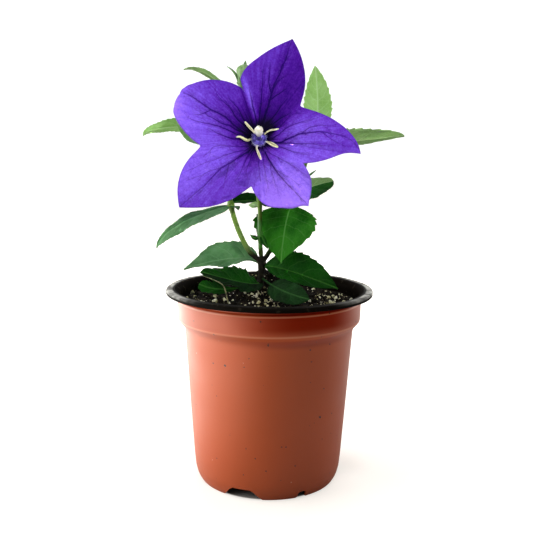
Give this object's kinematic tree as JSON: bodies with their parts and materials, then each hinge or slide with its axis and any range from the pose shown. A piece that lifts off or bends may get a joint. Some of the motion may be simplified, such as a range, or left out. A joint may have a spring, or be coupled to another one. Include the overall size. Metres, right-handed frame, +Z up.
{
  "type": "potted balloon flower",
  "caption": "Small balloon flower plant with one open violet bell flower, a bud and green leaves, growing from peat in a round terracotta-coloured plastic nursery pot.",
  "frame": {"origin": "centre of the pot foot, on the surface that the pot stands on", "axes": "+Z up along the pot axis, +X to the right of the flower as seen from its front, the open flower looks towards -Y"},
  "size_m": [0.1135, 0.09, 0.1886],
  "materials": {
    "pot_plastic": "satin",
    "peat": "matte",
    "bark": "matte",
    "stem": "satin",
    "leaf": "satin",
    "young_leaf": "satin",
    "petal": "matte",
    "dome": "matte",
    "stigma": "matte",
    "anther": "matte",
    "bud": "matte"
  },
  "bodies": {
    "root": {"bud": "bud", "bud_calyx": "stem", "calyx": "stem", "corolla": "petal", "filament_dome": "dome", "leaf_front_drooping": "leaf", "leaf_left_back": "leaf", "leaf_left_long": "leaf", "leaf_left_node_right": "leaf", "leaf_left_node_small": "leaf", "leaf_left_upper": "young_leaf", "leaf_lower_left": "leaf", "leaf_lower_right": "leaf", "leaf_middle_back": "leaf", "leaf_middle_hanging": "leaf", "leaf_middle_low_left": "leaf", "leaf_middle_low_right": "leaf", "leaf_middle_pale": "young_leaf", "leaf_right_back": "leaf", "leaf_right_folded": "leaf", "leaf_right_sliver": "leaf", "leaf_right_top_back": "leaf", "leaf_soil_front": "leaf", "leaf_soil_left": "leaf", "leaf_upper_back": "young_leaf", "leaf_upper_left": "young_leaf", "leaf_upper_left_narrow": "young_leaf", "leaf_upper_right": "young_leaf", "leaf_upper_right_erect": "young_leaf", "pot": "pot_plastic", "rootstock": "bark", "soil": "peat", "stamen_1": "anther", "stamen_2": "anther", "stamen_3": "anther", "stamen_4": "anther", "stamen_5": "anther", "stem_left": "stem", "stem_middle": "stem", "stem_right": "stem", "style": "stigma"}
  },
  "joints": []
}
